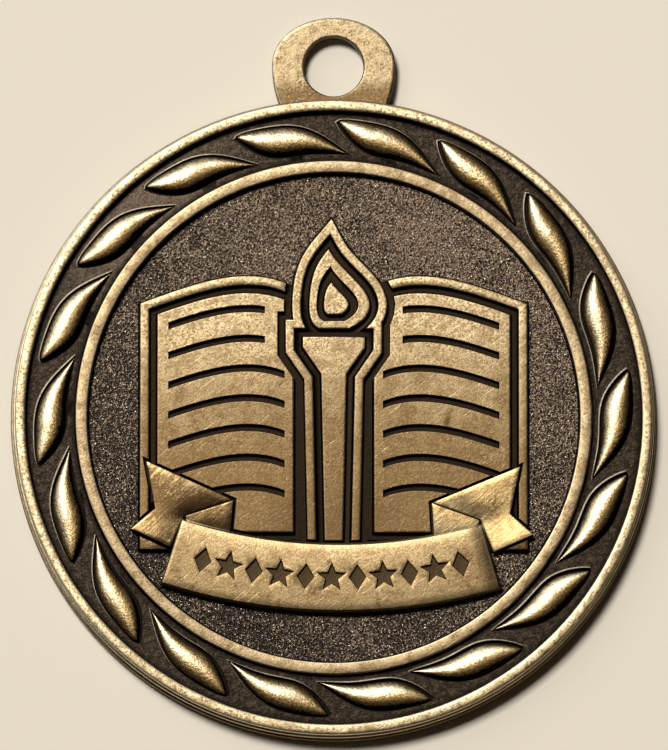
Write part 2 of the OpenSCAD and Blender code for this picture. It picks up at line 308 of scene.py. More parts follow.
flameBase = ringInside - emblem["flameFromRing"] - emblem["flameHeight"]
brimHeight = flameBase - emblem["groove"]
cupFoot = brimHeight - emblem["cupHeight"]


def pageEdge(s):
    return emblem["pageTop"] + emblem["swell"] * sinDeg(180 * s ** emblem["lift"])


def pageAcross(s):
    return emblem["pageInside"] + (pageOutside - emblem["pageInside"]) * s


def pageLoops(side, rows):
    # loops of a page: each row is how far its edges are moved outwards, and its height
    steps = emblem["pageSteps"]
    loops = []
    for away, height in rows:
        inner, outer = emblem["pageInside"] - away, pageOutside + away
        loop = [(inner, -emblem["foot"] - away, height), (outer, -emblem["foot"] - away, height)]
        for i in range(steps, -1, -1):
            x = inner + (outer - inner) * i / steps
            s = min(max((x - emblem["pageInside"]) / (pageOutside - emblem["pageInside"]), 0), 1)
            loop.append((x, pageEdge(s) + away, height))
        loops.append([(side * x, y, z) for x, y, z in loop])
    return loops


def ruledOutline(k):
    e = emblem
    drop = e["key"] + e["groove"] + e["headMargin"] + k * e["linePitch"]
    besideCup = e["pageTop"] - drop > cupFoot - e["belowCup"]
    inner = (max(e["cupHalf"], e["flameHalf"]) if besideCup else e["neckHalf"]) + torchClear + e["sideMargin"]
    outer = pageOutside - e["key"] - e["groove"] - e["sideMargin"]
    span = pageOutside - e["pageInside"]
    steps = e["lineSteps"]
    along = [(inner + (outer - inner) * i / steps - e["pageInside"]) / span for i in range(steps + 1)]
    return [(pageAcross(s), pageEdge(s) - drop - e["lineWidth"] / 2) for s in along] + [
        (pageAcross(s), pageEdge(s) - drop + e["lineWidth"] / 2) for s in reversed(along)]


def handleOutline():
    e = emblem
    right = [(e["handleHalf"], -e["foot"]), (e["neckHalf"], cupFoot),
             (e["cupHalf"], brimHeight - e["brimHeight"]), (e["cupHalf"], brimHeight)]
    return [(-e["handleHalf"], -e["foot"])] + right + [(-x, y) for x, y in reversed(right[1:])]


def flameOutline(share=1.0):
    # a drop that sways as it rises; a smaller share of it stands a little higher
    e, steps = emblem, emblem["flameSteps"]

    def flameSide(s, u):
        turn = 180 * (e["flameStart"] + (1 - e["flameStart"]) * s ** e["flameEase"])
        wide = e["flameHalf"] * sinDeg(turn) * (1 - e["flameNarrow"] * s)
        return (share * (u * wide + e["flameLean"] * sinDeg(e["flameSway"] * s)),
                flameBase + e["flameHeight"] * (share * s + e["tongueLift"] * (1 - share)))
    return [flameSide(i / steps, 1) for i in range(steps + 1)] + [
        flameSide(i / steps, -1) for i in range(steps - 1, -1, -1)]


def makeBook():
    e, soft, top = emblem, emblem["soft"], emblemTop
    key, groove = e["key"], e["groove"]
    lean, foot, tall = e["grooveLean"], e["grooveFoot"], grooveFloor + e["grooveTall"]
    rows = raisedRows(emblemRoot, disc["field"], top, soft) + softEdge(-key, top, soft, -1)[::-1]
    rows += [(-key - lean, tall), (-key - foot, grooveFloor),
             (-key - groove + foot, grooveFloor), (-key - groove + lean, tall)]
    rows += softEdge(-key - groove, top, soft)
    book = makeSolid("book", [pageLoops(1, rows), pageLoops(-1, rows)])
    for outline in (handleOutline(), flameOutline()):
        clear = [(torchClear + away, height) for away, height in cutterRows(grooveFloor, top, e["cutSoft"])]
        combine(book, makeSolid("clear", [shapeUp(outline, clear)]), "DIFFERENCE")
    ruled = [ruledOutline(k) for k in range(e["lines"])]
    ruled = [outline for right in ruled for outline in (right, flipOutline(right))]
    cutter = cutterRows(grooveFloor + e["lineRaise"], top, e["cutSoft"])
    combine(book, makeSolid("lines", [shapeUp(outline, cutter) for outline in ruled]), "DIFFERENCE")
    return book


def makeTorch():
    e, soft, top = emblem, emblem["soft"], emblemTop
    handle, flame = handleOutline(), flameOutline()
    wide = e["key"] + e["groove"]
    outside = [(wide + away, height) for away, height in raisedRows(emblemRoot, disc["field"], top, soft)]
    inside = [(e["groove"] + away, height) for away, height in cutterRows(grooveFloor, top, soft)]
    middle = raisedRows(emblemRoot, grooveFloor, top, soft, e["middleFoot"], e["middleLean"])
    torch = makeSolid("torch", [shapeUp(handle, outside)])
    combine(torch, makeSolid("flame", [shapeUp(flame, outside)]), "UNION")
    for outline in (handle, flame):
        combine(torch, makeSolid("hollow", [shapeUp(outline, inside)]), "DIFFERENCE")
    combine(torch, makeSolid("handle", [shapeUp(handle, middle)]), "UNION")
    combine(torch, makeSolid("flame", [shapeUp(flame, middle)]), "UNION")
    tongue = shapeUp(flameOutline(e["tongueOutside"]), cutterRows(grooveFloor, top, e["tongueSoft"]))
    combine(torch, makeSolid("tongue", [tongue]), "DIFFERENCE")
    combine(torch, makeSolid("tongue", [shapeUp(flameOutline(e["tongueInside"]), middle)]), "UNION")
    return torch


banner = {
    "bow": 39.8, "width": 5.5, "fromRing": 3.9, "insidePage": 3.5, "rise": 1.25, "turn": -0.8,
    "along": 72, "across": 16, "crown": 0.03, "edgeRoll": 0.3, "edgeRollWide": 0.34, "edgeRollEase": 2.2,
    "endRoll": 0.17, "curl": 0.22, "curlWide": 1.6,
    "tailReach": 4.05, "tailUp": 4.45, "tailRise": 1.2, "tailDip": 0.19, "tailWave": 0.3, "tailSoft": 0.11,
    "tailSteps": 14, "wallFacing": 0.2, "topFacing": 0.7,
    "trench": 0.16, "trenchDepth": 0.55, "trenchSoft": 0.05, "trenchLean": 0.02, "trenchMouth": 0.07,
    "trenchSteps": 48,
    "signs": 5, "signPitch": 2.04, "signDepth": 0.35, "signSoft": 0.06,
    "star": 1.15, "starWaist": 0.42, "lozenge": (0.85, 0.57),
}
# points of the right tail and its fold: shares of the tail's reach and height from the banner's corner,
# and of its dip
tail = {
    "tip": (0.72, 1, 0), "notch": (0.54, 0.16, 0.5), "low": (1, -0.21, 0), "end": (0.22, -0.53, 1),
    "corner": (-0.05, 0.04, 1.25), "point": (-0.99, 0.33, 0.6), "foldPoint": (-0.99, 0.33, 0),
    "foldCorner": (-0.05, 0.04, 0.3), "foldStart": (-0.94, -0.3, 1.3), "foldEnd": (-0.12, -0.3, 1.3),
}
panelDrop = ringInside - banner["fromRing"] - banner["width"]
bowCentre = banner["bow"] - panelDrop
panelAngle = math.degrees(math.asin((pageOutside - banner["insidePage"]) / banner["bow"]))
panelTop = disc["field"] + banner["rise"]
panelMiddle = banner["bow"] + banner["width"] / 2
panelHalf = math.radians(panelAngle) * panelMiddle


def bowPoint(angle, radius):
    return (radius * sinDeg(angle), bowCentre - radius * cosDeg(angle))


panelCorner = bowPoint(panelAngle, banner["bow"])


def makePanel():
    # slices along the bow, with softly rolled long edges and ends; its right end curls down further
    b = banner
    loops = []
    for i in range(b["along"] + 1):
        s = -cosDeg(180 * i / b["along"])
        fromEnd = min(1 - s, 1 + s) * panelHalf
        drop = b["endRoll"] * max(0, 1 - fromEnd / b["endRoll"]) ** 2
        drop += b["curl"] * max(0, 1 - (1 - s) * panelHalf / b["curlWide"]) ** 2
        angle = panelAngle * s
        loop = [(*bowPoint(angle, radius), emblemRoot) for radius in (b["bow"], b["bow"] + b["width"])]
        for j in range(b["across"], -1, -1):
            u = -cosDeg(180 * j / b["across"])
            fromEdge = (1 - abs(u)) * b["width"] / 2
            roll = b["edgeRoll"] * max(0, 1 - fromEdge / b["edgeRollWide"]) ** b["edgeRollEase"]
            loop.append((*bowPoint(angle, panelMiddle + u * b["width"] / 2),
                         panelTop - b["crown"] * u * u - roll - drop))
        loops.append(loop)
    panel = makeSolid("panel", [loops])
    signs = []
    for i in range(-b["signs"], b["signs"] + 1):
        if i % 2:
            sign = [clockPoint(90 * k, b["star"] * b["lozenge"][k % 2]) for k in range(4)]
        else:
            sign = [clockPoint(36 * k, b["star"] * (b["starWaist"] if k % 2 else 1)) for k in range(10)]
        sign = [(x, y - panelMiddle + bowCentre) for x, y in reversed(sign)]
        turn = math.degrees(i * b["signPitch"] / panelMiddle)
        sign = turnOutline(sign, turn, (0, bowCentre))
        signs.append(shapeUp(sign, cutterRows(panelTop - b["signDepth"], panelTop, b["signSoft"])))
    combine(panel, makeSolid("signs", signs), "DIFFERENCE")
    return panel


def tailPoint(x, y):
    return (panelCorner[0] + x * banner["tailReach"], panelCorner[1] + y * banner["tailUp"])


def tailLoops(side, rows):
    # a tail or fold as slices from its inner line to its outer line; rows pair the two lines' points
    b = banner
    loops = []
    for i in range(b["tailSteps"] + 1):
        s = i / b["tailSteps"]
        wave = b["tailWave"] * b["tailDip"] * sinDeg(180 * s)
        loop = []
        for inner, outer in rows:
            x, y, dip = (inner[k] + (outer[k] - inner[k]) * s for k in range(3))
            x, y = tailPoint(x, y)
            loop.append((side * x, y, disc["field"] + b["tailRise"] - dip * b["tailDip"] + wave))
        feet = [(x, y, emblemRoot) for x, y, height in loop]
        loops.append(loop + feet[::-1])
    return loops


def between(first, second, count=6):
    first, second = tail[first], tail[second]
    return [tuple(a + (b - a) * i / count for a, b in zip(first, second)) for i in range(count + 1)]


def makeSheet(name, side, rows):
    # a piece of the banner's cloth with its upper edges rounded
    sheet = makeSolid(name, [tailLoops(side, rows)])
    bm = bmesh.new()
    bm.from_mesh(sheet.data)
    edges = [e for e in bm.edges if len(e.link_faces) == 2
             and min(abs(f.normal.z) for f in e.link_faces) < banner["wallFacing"]
             and max(f.normal.z for f in e.link_faces) > banner["topFacing"]]
    bmesh.ops.bevel(bm, geom=edges, offset=banner["tailSoft"], segments=3, profile=0.5, affect="EDGES",
                    material=-1, clamp_overlap=True)
    bm.to_mesh(sheet.data)
    bm.free()
    return sheet


def makeBanner():
    outer = between("tip", "notch") + between("notch", "low")[1:]
    inner = between("point", "corner") + between("corner", "end")[1:]
    fold = list(zip(between("foldStart", "foldEnd"), between("foldPoint", "foldCorner")))
    cloth = makePanel()
    for side in (1, -1):
        combine(cloth, makeSheet("fold", side, fold), "UNION")
        combine(cloth, makeSheet("tail", side, list(zip(inner, outer))), "UNION")
    turnSolid(cloth)
    return cloth


def makeTrench():
    # cutter that leaves a narrow dark trench where the banner lies over the emblem
    b, wide, soft = banner, banner["trench"], banner["trenchSoft"]
    floor = emblemTop - b["trenchDepth"]
    mouth = wide + b["trenchMouth"]
    rows = [(wide - soft, floor), (wide, floor + soft), (wide + b["trenchLean"], emblemTop - soft),
            (mouth, emblemTop), (mouth, emblemTop + 1)]
    names = ("foldStart", "end", "low", "notch", "tip", "foldPoint")
    outline = [tailPoint(*tail[name][:2]) for name in names]
    angles = [panelAngle * (1 - 2 * i / b["trenchSteps"]) for i in range(b["trenchSteps"] + 1)]
    bow = [bowPoint(angle, b["bow"] + b["width"]) for angle in reversed(angles)]
    bow += [bowPoint(angle, b["bow"]) for angle in angles]
    cutter = makeSolid("trench", [shapeUp(bow, rows)])
    for half in (outline, flipOutline(outline)):
        combine(cutter, makeSolid("trench", [shapeUp(half, rows)]), "UNION")
    turnSolid(cutter)
    return cutter


def turnSolid(solid):
    # the banner lies slightly turned
    turned = Matrix.Rotation(math.radians(banner["turn"]), 3, "Z")
    bm = bmesh.new()
    bm.from_mesh(solid.data)
    bmesh.ops.rotate(bm, verts=bm.verts, cent=(0, 0, 0), matrix=turned)
    bm.to_mesh(solid.data)
    bm.free()


ribbonLoop = {
    "holeRadius": 2.36, "web": 0.51, "side": 2.5, "above": 1.52, "top": 1.8, "taper": 6.6, "wide": 0.15,
    "intoRim": 0.6, "soft": 0.28, "holeSoft": 0.2, "steps": 96, "holeSteps": 128,
}
holeAt = rimRadius + ribbonLoop["web"] + ribbonLoop["holeRadius"]


def makeLoop():
    # an oval crown whose sides taper down into the rim
    r = ribbonLoop
    half = r["holeRadius"] + r["side"]
    crown = r["holeRadius"] + r["above"] - r["wide"]
    wideAt = holeAt + r["wide"]
    foot = rimRadius - r["intoRim"] * disc["rimWidth"]
    lean = math.degrees(math.asin((wideAt - foot) / r["taper"]))
    outline = []
    for i in range(r["steps"] + 1):
        angle = i * (180 + 2 * lean) / r["steps"] - lean
        tall = crown if 0 < angle < 180 else r["taper"]
        outline.append((half * cosDeg(angle), wideAt + tall * sinDeg(angle)))
    top, soft = r["top"], r["soft"]
    rows = [(-soft * (1 - sinDeg(a)), soft * (1 - cosDeg(a))) for a in (0, 30, 60, 90)]
    rows += [(-soft * (1 - cosDeg(a)), top - soft * 0.4 * (1 - sinDeg(a))) for a in (0, 18, 36, 54, 72, 90)]
    return makeSolid("loop", [shapeUp(outline, rows)])


def makeHole():
    # cutter with both mouths of the hole softened
    radius, top, soft = ribbonLoop["holeRadius"], ribbonLoop["top"], ribbonLoop["holeSoft"]
    angles = [360 * i / ribbonLoop["holeSteps"] for i in range(ribbonLoop["holeSteps"])]
    circle = [(radius * cosDeg(angle), holeAt + radius * sinDeg(angle)) for angle in angles]
    rows = [(soft, -1), (soft, 0), (soft * 0.4, soft * 0.3), (0, soft), (0, top - soft),
            (soft * 0.1, top - soft * 0.5), (soft * 0.45, top - soft * 0.15), (soft * 1.05, top),
            (soft * 1.05, top + 0.05), (0, top + 0.3), (0, top + 2)]
    return makeSolid("hole", [shapeUp(circle, rows)])


medal = makeBlank()
print("blank turned", len(medal.data.polygons))
addWreath(medal)
print("wreath added", len(medal.data.polygons))
combine(medal, makeLoop(), "UNION")
combine(medal, makeHole(), "DIFFERENCE")
print("loop added", len(medal.data.polygons))
emblemPiece = makeBook()
combine(emblemPiece, makeTorch(), "UNION")
combine(emblemPiece, makeTrench(), "DIFFERENCE")
combine(medal, emblemPiece, "UNION")
print("emblem added", len(medal.data.polygons))
combine(medal, makeBanner(), "UNION")
print("banner added", len(medal.data.polygons))


meshing = {"merge": 0.0008, "thin": 0.0005, "sharp": 29, "weight": 80}


def finishMedal():
    # to metres, clean, and smooth but for its sharp edges
    bm = bmesh.new()
    bm.from_mesh(medal.data)
    bmesh.ops.remove_doubles(bm, verts=bm.verts, dist=meshing["merge"])
    bmesh.ops.dissolve_degenerate(bm, edges=bm.edges, dist=meshing["thin"])
    bmesh.ops.scale(bm, vec=(millimetre,) * 3, verts=bm.verts)
    bm.to_mesh(medal.data)
    bm.free()
    medal.data.polygons.foreach_set("use_smooth", [True] * len(medal.data.polygons))
    medal.data.set_sharp_from_angle(angle=math.radians(meshing["sharp"]))
    steady = medal.modifiers.new("steadyNormals", "WEIGHTED_NORMAL")
    steady.keep_sharp = True
    steady.weight = meshing["weight"]


finishMedal()

finish = {
    "bright": (0.35, 0.262, 0.145, 1), "warm": (0.145, 0.096, 0.043, 1), "pale": (0.60, 0.476, 0.29, 1),
    # the crest colours on the next line are painted highlights for faces turned to the light
    "paintedHighlight": (0.87, 0.76, 0.54, 1), "leafPaintedHighlight": (0.88, 0.755, 0.51, 1), "gold": (0.54, 0.365, 0.155, 1),
    # on the next line, amber, tarnish and patina also serve as painted shade
    "amber": (0.23, 0.142, 0.055, 1), "shadeAndTarnish": (0.108, 0.066, 0.028, 1), "paintedShadeBrown": (0.050, 0.028, 0.012, 1),
    "dark": (0.006, 0.0045, 0.0035, 1), "groove": (0.0115, 0.0074, 0.0044, 1),
    "sign": (0.034, 0.022, 0.011, 1), "lip": (0.15, 0.125, 0.095, 1), "band": (0.010, 0.0072, 0.005, 1),
    "bandWornAndSheen": (0.076, 0.056, 0.038, 1), "field": (0.016, 0.013, 0.011, 1),
    "fieldWarm": (0.135, 0.096, 0.066, 1), "glint": (0.60, 0.48, 0.34, 1),
}


def makeMaterial(name):
    material = bpy.data.materials.new(name)
    material.use_nodes = True
    nodes = material.node_tree.nodes
    nodes.clear()
    output = nodes.new("ShaderNodeOutputMaterial")
    shader = nodes.new("ShaderNodeBsdfPrincipled")
    material.node_tree.links.new(shader.outputs["BSDF"], output.inputs["Surface"])
    return material, shader


antiqueBrass, brassShader = makeMaterial("antiqueBrass")
brassNodes = antiqueBrass.node_tree.nodes
brassLinks = antiqueBrass.node_tree.links


def plug(socket, value):
    if isinstance(value, bpy.types.NodeSocket):
        brassLinks.new(value, socket)
    else:
        socket.default_value = value


def calc(how, *values):
    node = brassNodes.new("ShaderNodeMath")
    node.operation = how
    for socket, value in zip(node.inputs, values):
        plug(socket, value)
    return node.outputs[0]


def times(*values):
    total = values[0]
    for value in values[1:]:
        total = calc("MULTIPLY", total, value)
    return total


def plus(*values):
    total = values[0]
    for value in values[1:]:
        total = calc("ADD", total, value)
    return total


def less(value):
    # what a share leaves of the whole
    return calc("SUBTRACT", 1.0, value)


def larger(first, second):
    return calc("MAXIMUM", first, second)


def smaller(first, second):
    return calc("MINIMUM", first, second)


def distance(first, second):
    return calc("SQRT", plus(times(first, first), times(second, second)))


def blend(first, second, share):
    # so much of the first, and the rest of the second
    return plus(times(first, share), times(second, 1 - share))


def centred(value, reach):
    # from a half down to a half up of the reach
    return times(plus(value, -0.5), reach)


def ease(value, low, high, fromShare=0.0, toShare=1.0):
    # soft step from one share to another while value runs from low to high
    node = brassNodes.new("ShaderNodeMapRange")
    node.interpolation_type = "SMOOTHSTEP"
    for name, number in (("Value", value), ("From Min", low), ("From Max", high),
                         ("To Min", fromShare), ("To Max", toShare)):
        plug(node.inputs[name], number)
    return node.outputs["Result"]


def easeFrom(value, start, low, high, fromShare=0.0, toShare=1.0):
    # the same, with low and high counted from a start
    return ease(value, start + low, start + high, fromShare, toShare)


def near(value, target, inner, outer):
    # 1 where value is within inner of target, 0 beyond outer
    return ease(calc("ABSOLUTE", plus(value, -target)), inner, outer, 1.0, 0.0)


def within(value, low, high, margin):
    return times(easeFrom(value, low, -margin, margin), easeFrom(value, high, -margin, margin, 1.0, 0.0))


def mixColour(share, first, second):
    node = brassNodes.new("ShaderNodeMix")
    node.data_type = "RGBA"
    plug(node.inputs["Factor"], share)
    plug(node.inputs[6], first)  # the two colour sockets
    plug(node.inputs[7], second)
    return node.outputs[2]


def layered(colour, *layers):
    # colours laid over a first one, each with its share
    for share, over in layers:
        colour = mixColour(share, colour, over)
    return colour


# noise: grains a millimetre, detail and roughness, and for strokes their stretch and turn
grains = {
    "blotch": (0.22, 4.0, 0.6), "patch": (0.8, 4.0, 0.65), "mottle": (2.2, 4.0, 0.65),
    "fine": (5.5, 3.0, 0.65), "stipple": (6.5, 2.0, 0.6), "sparkle": (9.0, 1.0, 0.5),
    "brushed": (1.0, 3.0, 0.6, (2.2, 0.22, 1.0), 42),
    "scratchUp": (1.0, 2.0, 0.5, (3.2, 0.11, 1.0), 38),
    "scratchDown": (1.0, 2.0, 0.5, (2.8, 0.12, 1.0), -24),
}
scratchRange = {"scratchUp": (0.64, 0.7), "scratchDown": (0.66, 0.72)}
unevenReach, roughReach, roughFine = 0.3, 1.3, 0.6


def grain(place, scale, detail, roughness, stretch=None, turn=0.0):
    if stretch:
        mapping = brassNodes.new("ShaderNodeMapping")
        mapping.vector_type = "TEXTURE"
        mapping.inputs["Scale"].default_value = stretch
        mapping.inputs["Rotation"].default_value = (0, 0, math.radians(turn))
        plug(mapping.inputs["Vector"], place)
        place = mapping.outputs["Vector"]
    node = brassNodes.new("ShaderNodeTexNoise")
    node.inputs["Scale"].default_value = scale / millimetre
    node.inputs["Detail"].default_value = detail
    node.inputs["Roughness"].default_value = roughness
    plug(node.inputs["Vector"], place)
    return node.outputs["Fac"]


def makeNoise(place):
    noise = SimpleNamespace(**{name: grain(place, *row) for name, row in grains.items()})
    noise.uneven = centred(noise.mottle, unevenReach)
    noise.rough = centred(blend(noise.fine, noise.stipple, roughFine), roughReach)
    noise.scratches = plus(ease(noise.scratchUp, *scratchRange["scratchUp"]),
                           ease(noise.scratchDown, *scratchRange["scratchDown"]))
    return noise


# painted highlights and painted shade on the brass follow how a face turns to this direction
lightFrom = (-0.33, 0.33, 0.884)  # direction from which the raised work catches the light


def shadedPoint(place):
    # where the shaded point lies, in millimetres, and how it faces
    axes = brassNodes.new("ShaderNodeSeparateXYZ")
    plug(axes.inputs[0], place)
    x, y, z = (times(axes.outputs[k], 1 / millimetre) for k in range(3))
    facing = brassNodes.new("ShaderNodeSeparateXYZ")
    plug(facing.inputs[0], brassNodes.new("ShaderNodeNewGeometry").outputs["Normal"])
    turn = math.radians(-banner["turn"])
    along = plus(times(x, math.cos(turn)), times(y, -math.sin(turn)))
    below = plus(times(x, math.sin(turn)), times(y, math.cos(turn)), -bowCentre)
    return SimpleNamespace(
        x=x, y=y, z=z, aside=calc("ABSOLUTE", x), along=along, below=below, radius=distance(x, y),
        bowRadius=distance(along, below), holeRadius=distance(x, plus(y, -holeAt)),
        north=facing.outputs[1], up=facing.outputs[2],
        lit=plus(*(times(part, share) for part, share in zip(facing.outputs, lightFrom))))


brassPlace = brassNodes.new("ShaderNodeTexCoord").outputs["Object"]
noise = makeNoise(brassPlace)
at = shadedPoint(brassPlace)

# borders of the zones: heights and distances in millimetres, and how far a face looks up or north
zone = {
    "border": 0.03, "wideBorder": 0.05, "outside": (-0.12, -0.02),
    "loopFromRim": (0.16, 0.2), "loopFoot": (20.0, 21.0), "loopReach": (5.3, 5.1),
    "fieldHeight": (0.004, 0.02), "bandHeight": (0.03, 0.07), "bandFlat": (0.75, 0.95),
    "lipHeight": (0.012, 0.03), "lipFlat": (0.75, 0.9), "leafHeight": (1.9, 2.3), "leafFacing": (0.22, 0.6),
    "panelEnd": (-0.03, 0.03, 1.0, 0.0), "emblemHeight": (2.4, 2.5), "tailHeight": (0.02, 0.06),
    "foldFacing": (-0.05, -0.12), "signAcross": (1.5, 1.6), "signEnd": (-0.5, -0.4, 1.0, 0.0),
    "signHeight": (-0.2, -0.1, 1.0, 0.0), "flat": (0.9, 0.985),
}


def findZones():
    # 1 on a part of the medal and 0 off it
    on = SimpleNamespace()
    border, wide = zone["border"], zone["wideBorder"]
    inField = easeFrom(at.radius, ringInside, -wide, wide, 1.0, 0.0)
    on.leafBand = within(at.radius, ringRadius, rimInside, wide)
    on.ring = within(at.radius, ringInside, ringRadius, border)
    on.rim = within(at.radius, rimInside, rimRadius, border)
    on.outside = easeFrom(at.radius, rimRadius, *zone["outside"])
    on.loop = times(easeFrom(at.radius, rimRadius, *zone["loopFromRim"]), ease(at.y, *zone["loopFoot"]),
                    ease(at.aside, *zone["loopReach"]))
    on.field = times(inField, near(at.z, disc["field"], *zone["fieldHeight"]))
    on.bandFloor = times(on.leafBand, near(at.z, disc["bandFloor"], *zone["bandHeight"]),
                         ease(at.up, *zone["bandFlat"]))
    on.lip = times(on.leafBand, near(at.z, lipTop, *zone["lipHeight"]), ease(at.up, *zone["lipFlat"]))
    on.leaf = times(on.leafBand, ease(plus(at.z, noise.uneven), *zone["leafHeight"]),
                    ease(plus(at.up, noise.uneven), *zone["leafFacing"]), less(on.bandFloor))
    ends = plus(calc("ABSOLUTE", at.along), times(at.below, math.tan(math.radians(panelAngle))))
    on.panel = times(within(at.bowRadius, banner["bow"], banner["bow"] + banner["width"], border),
                     ease(ends, *zone["panelEnd"]))
    on.emblem = times(inField, less(on.panel), ease(at.z, *zone["emblemHeight"]))
    on.tail = times(on.emblem, easeFrom(at.z, emblemTop, *zone["tailHeight"]))
    on.fold = times(on.tail, ease(at.north, *zone["foldFacing"]))
    on.sign = times(on.panel, near(at.bowRadius, panelMiddle, *zone["signAcross"]),
                    ease(ends, *zone["signEnd"]), easeFrom(at.z, panelTop, *zone["signHeight"]))
    on.flat = ease(at.up, *zone["flat"])
    return on


on = findZones()

show = {
    "height": (2.3, 2.62), "facing": (0.15, 0.65), "stepFoot": 0.22, "stepFootReach": (0.14, 0.21),
    "loopShoulder": (24.3, 23.3), "side": (0.9, 1.25, 0.3, 1.0), "sideMottle": (0.3, 0.6, 0.6, 0.95),
    "holeWall": (0.005, 0.05, 0.2, 1.0),
}


def brassShows():
    # share of bare brass; the rest keeps the dark finish
    top = times(ease(plus(at.z, noise.uneven), *show["height"]), ease(at.up, *show["facing"]), less(on.sign))
    corners = larger(*(near(at.z, disc[step] + show["stepFoot"], *show["stepFootReach"])
                       for step in ("edgeTop", "stepTop")))
    # the lowest step of the edge keeps most of the dark finish: painted shade
    side = times(less(times(corners, ease(at.y, *show["loopShoulder"]))), ease(at.z, *show["side"]))
    side = times(larger(side, on.loop), easeFrom(at.holeRadius, ribbonLoop["holeRadius"], *show["holeWall"]),
                 ease(noise.mottle, *show["sideMottle"]))
    return larger(times(larger(top, on.leaf), less(on.outside)), times(side, on.outside))


# each range runs from one place to another, then from one share to another
# darker brass: tarnish, with painted shade on the rim's lower right, where the tails dip and on the panel's
# curled right end
shadeAndTarnish = {
    "emblem": (12.0, -2.5, 0.12, 0.95), "emblemBlotch": 8.0,
    "tailHeight": (3.14, 3.0, 0.1, 1.0), "tailStrokes": 0.2, "tailFoot": (-8.6, -7.2, 0.3, 1.0),
    "tailsFrom": 6.0, "tails": (1.5, 0.35), "folds": (1.1, 0.0),
    "panelFrom": 0.6, "panel": 0.42, "panelRight": (8.0, 12.3, 0.0, 0.2),
    "ring": (18.0, -16.0, 0.34, 0.44), "ringLean": 0.3, "rim": (12.0, -22.0, 0.0, 0.2), "rimLean": -1.0,
    "loop": (28.4, 26.7, 0.08, 0.95), "loopPatch": 2.4, "loopPatches": (0.5, 0.6, 0.0, 0.25),
    "patches": (0.44, 0.64, 0.0, 0.44), "patchShare": 0.7, "grain": (0.36, 0.62, 0.55, 1.35),
}


def acrossTails(left, right):
    # from a share on the left tail to a share on the right tail
    return ease(at.along, -shadeAndTarnish["tailsFrom"], shadeAndTarnish["tailsFrom"], left, right)


def shadeAndTarnishShare():
    # darker low on the emblem, below the panel's top strip, towards the ring's lower left and at the foot of
    # the loop; tarnish in patches
    # painted shade where the tails dip, more on the left tail and fold, on the panel's curled right end and
    # on the rim's lower right
    t = shadeAndTarnish
    tails = times(on.tail, less(on.fold),
                  ease(plus(at.z, centred(noise.brushed, t["tailStrokes"])), *t["tailHeight"]),
                  acrossTails(*t["tails"]), ease(at.y, *t["tailFoot"]))
    panel = plus(ease(at.bowRadius, banner["bow"] + t["panelFrom"], panelMiddle, 0.0, t["panel"]),
                 ease(at.along, *t["panelRight"]))
    emblemHigh = plus(at.y, times(noise.blotch, t["emblemBlotch"]))
    share = plus(
        times(on.emblem, ease(emblemHigh, *t["emblem"]), less(on.tail)),
        tails,
        times(on.fold, acrossTails(*t["folds"])),
        times(on.panel, panel),
        times(on.ring, ease(plus(at.y, times(at.x, t["ringLean"])), *t["ring"])),
        times(on.rim, ease(plus(at.y, times(at.x, t["rimLean"])), *t["rim"])),
        times(on.loop, ease(plus(at.y, times(noise.patch, t["loopPatch"])), *t["loop"])),
        times(on.loop, ease(noise.patch, *t["loopPatches"])),
        ease(blend(noise.patch, noise.mottle, t["patchShare"]), *t["patches"]))
    return times(share, ease(noise.fine, *t["grain"]))


paintedCreaseShade = {
    "left": (-10.7, -7.2), "right": (11.7, -6.9), "tall": 1.2, "rightLess": 0.25,
    "reach": (1.0, 2.8, 0.65, 0.0), "strokes": 2.5, "height": (3.07, 3.0),
    "folds": (0.5, 0.0), "foldMottle": (0.35, 0.65, 1.2, 0.5),
    "foot": (-4.5, -8.5), "footMiddle": (6.5, 3.0), "footShare": 0.35,
}


def paintedCreaseShadeShare():
    # painted shade in the creases of the tails and on the left fold, and painted shadow of the banner at the
    # foot of the emblem
    c = paintedCreaseShade
    left, right = (distance(plus(at.x, -c[side][0]), times(plus(at.y, -c[side][1]), c["tall"]))
                   for side in ("left", "right"))
    reach = plus(smaller(left, plus(right, c["rightLess"])), centred(noise.brushed, c["strokes"]))
    return plus(times(on.tail, ease(reach, *c["reach"]), ease(at.z, *c["height"])),
                times(on.fold, acrossTails(*c["folds"]), ease(noise.mottle, *c["foldMottle"])),
                times(on.emblem, less(on.tail), ease(at.y, *c["foot"]), ease(at.aside, *c["footMiddle"]),
                      c["footShare"]))


recess = {
    "blotch": 0.3, "palerUp": 0.003, "palerRight": 0.002, "fieldWorn": (0.4, 0.64),
    "glintStipple": 0.4, "glint": (0.6, 0.66, 0.0, 0.7),
    "paintedSheenAt": (-15.0, 16.5), "paintedSheen": (12.0, 2.0, 0.0, 0.16), "bandWornAndSheen": (0.4, 0.82), "bandMottle": 0.5,
    "wall": (0.1, 0.6, 0.85, 0.0),
}


